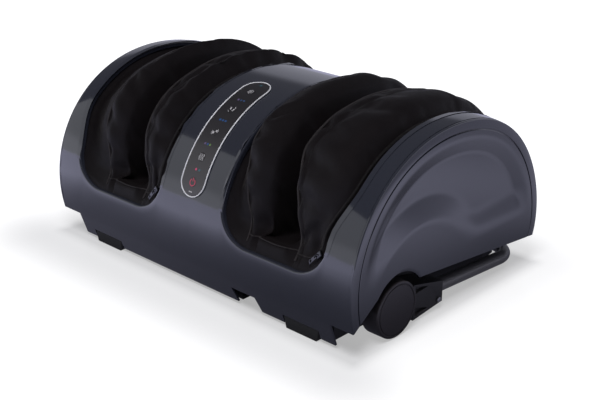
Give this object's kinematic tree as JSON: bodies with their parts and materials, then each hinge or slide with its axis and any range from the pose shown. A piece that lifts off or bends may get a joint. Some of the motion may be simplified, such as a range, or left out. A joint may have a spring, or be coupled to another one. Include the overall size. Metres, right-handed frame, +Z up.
{
  "type": "foot massager",
  "caption": "Barrel-shaped foot massager with two fabric-lined foot wells, a central key panel, side wheels and a U-shaped stand bar folded underneath.",
  "frame": {"origin": "on the floor, under the middle of the housing", "axes": "+Z up, +X to the right seen from the user's side, -Y towards the user, where the key panel is"},
  "size_m": [0.46, 0.3188, 0.219],
  "materials": {
    "arm_black": "satin",
    "bar_paint": "semi-gloss black",
    "black_plastic": "fine matt",
    "board_green": "solder mask",
    "brass": "sintered",
    "fabric": "smooth black polyester",
    "housing_gloss": "high gloss",
    "nylon": "natural nylon",
    "panel_smoke": "smoked gloss film",
    "rubber": "matt",
    "silver_trim": "satin silver",
    "steel": "machined",
    "wheel_black": "satin"
  },
  "bodies": {
    "housing": {"base_pan": "black_plastic", "base_screw_1": "steel", "base_screw_2": "steel", "base_screw_3": "steel", "base_screw_4": "steel", "control_board": "board_green", "fabric_cover_left": "fabric", "fabric_cover_right": "fabric", "foot_bed_left": "black_plastic", "foot_bed_right": "black_plastic", "foot_front_left": "rubber", "foot_front_right": "rubber", "foot_rear_left": "rubber", "foot_rear_right": "rubber", "kneading_bush_left": "brass", "kneading_bush_right": "brass", "kneading_gearbox": "black_plastic", "kneading_motor": "steel", "panel_bezel": "silver_trim", "panel_overlay": "panel_smoke", "power_board": "board_green", "power_inlet": "black_plastic", "roller_bush_left": "brass", "roller_bush_right": "brass", "roller_gearbox": "black_plastic", "roller_motor": "steel", "side_cover_left": "housing_gloss", "side_cover_right": "housing_gloss", "top_shell": "housing_gloss", "wheel_axle_left": "steel", "wheel_axle_right": "steel"},
    "stand_bar": {"handle_bar": "bar_paint", "handle_arm_left": "arm_black", "handle_arm_right": "arm_black", "arm_screw_left": "steel", "arm_screw_right": "steel"},
    "left_wheel": {"wheel_left": "wheel_black"},
    "right_wheel": {"wheel_right": "wheel_black"},
    "kneading_drive": {"kneading_shaft": "steel", "kneading_worm_wheel": "nylon", "wobble_hub_left_inner": "nylon", "wobble_hub_left_outer": "nylon", "wobble_hub_right_inner": "nylon", "wobble_hub_right_outer": "nylon"},
    "kneading_worm_set": {"kneading_worm": "steel"},
    "roller_drive": {"roller_shaft": "steel", "roller_worm_wheel": "nylon", "sole_roller_left": "nylon", "sole_roller_right": "nylon"},
    "roller_worm_set": {"roller_worm": "steel"},
    "plate_left_inner": {"kneading_plate_left_inner": "nylon"},
    "plate_left_outer": {"kneading_plate_left_outer": "nylon"},
    "plate_right_inner": {"kneading_plate_right_inner": "nylon"},
    "plate_right_outer": {"kneading_plate_right_outer": "nylon"},
    "key_power": {"button_power": "panel_smoke"},
    "key_heat": {"button_heat": "panel_smoke"},
    "key_roller": {"button_roller": "panel_smoke"},
    "key_kneading": {"button_kneading": "panel_smoke"},
    "key_auto": {"button_auto": "panel_smoke"}
  },
  "joints": [
    {"name": "stand_bar_turn", "type": "hinge", "parent": "housing", "child": "stand_bar", "pos_m": [0, -0.087, 0.031], "axis": [1, 0, 0], "range_deg": [-100, 0]},
    {"name": "wheel_left_spin", "type": "hinge", "parent": "housing", "child": "left_wheel", "pos_m": [-0.21725, -0.087, 0.031], "axis": [1, 0, 0], "continuous": true},
    {"name": "wheel_right_spin", "type": "hinge", "parent": "housing", "child": "right_wheel", "pos_m": [0.21725, -0.087, 0.031], "axis": [1, 0, 0], "continuous": true},
    {"name": "kneading_spin", "type": "hinge", "parent": "housing", "child": "kneading_drive", "pos_m": [0, 0.06, 0.044], "axis": [1, 0, 0], "continuous": true},
    {"name": "kneading_worm_spin", "type": "hinge", "parent": "housing", "child": "kneading_worm_set", "pos_m": [0, 0.06, 0.068], "axis": [0, 1, 0], "continuous": true},
    {"name": "roller_spin", "type": "hinge", "parent": "housing", "child": "roller_drive", "pos_m": [0, -0.04, 0.044], "axis": [1, 0, 0], "continuous": true},
    {"name": "roller_worm_spin", "type": "hinge", "parent": "housing", "child": "roller_worm_set", "pos_m": [0, -0.04, 0.068], "axis": [0, 1, 0], "continuous": true},
    {"name": "plate_left_inner_tilt", "type": "hinge", "parent": "housing", "child": "plate_left_inner", "pos_m": [-0.07103, 0.06, 0.044], "axis": [0, 1, 0], "range_deg": [-3, 3]},
    {"name": "plate_left_outer_tilt", "type": "hinge", "parent": "housing", "child": "plate_left_outer", "pos_m": [-0.16527, 0.06, 0.044], "axis": [0, 1, 0], "range_deg": [-3, 3]},
    {"name": "plate_right_inner_tilt", "type": "hinge", "parent": "housing", "child": "plate_right_inner", "pos_m": [0.07103, 0.06, 0.044], "axis": [0, 1, 0], "range_deg": [-3, 3]},
    {"name": "plate_right_outer_tilt", "type": "hinge", "parent": "housing", "child": "plate_right_outer", "pos_m": [0.16527, 0.06, 0.044], "axis": [0, 1, 0], "range_deg": [-3, 3]},
    {"name": "key_power_press", "type": "slide", "parent": "housing", "child": "key_power", "axis": [0, 0.9093, -0.4163], "range_m": [0, 0.0006], "stiffness_N_per_m": 600},
    {"name": "key_heat_press", "type": "slide", "parent": "housing", "child": "key_heat", "axis": [0, 0.8059, -0.592], "range_m": [0, 0.0006], "stiffness_N_per_m": 600},
    {"name": "key_roller_press", "type": "slide", "parent": "housing", "child": "key_roller", "axis": [0, 0.6596, -0.7516], "range_m": [0, 0.0006], "stiffness_N_per_m": 600},
    {"name": "key_kneading_press", "type": "slide", "parent": "housing", "child": "key_kneading", "axis": [0, 0.4825, -0.8759], "range_m": [0, 0.0006], "stiffness_N_per_m": 600},
    {"name": "key_auto_press", "type": "slide", "parent": "housing", "child": "key_auto", "axis": [0, 0.2974, -0.9548], "range_m": [0, 0.0006], "stiffness_N_per_m": 600}
  ],
  "couplings": [
    {"joint": "kneading_spin", "follows": "kneading_worm_spin", "ratio": 0.041667},
    {"joint": "roller_spin", "follows": "roller_worm_spin", "ratio": 0.041667}
  ]
}
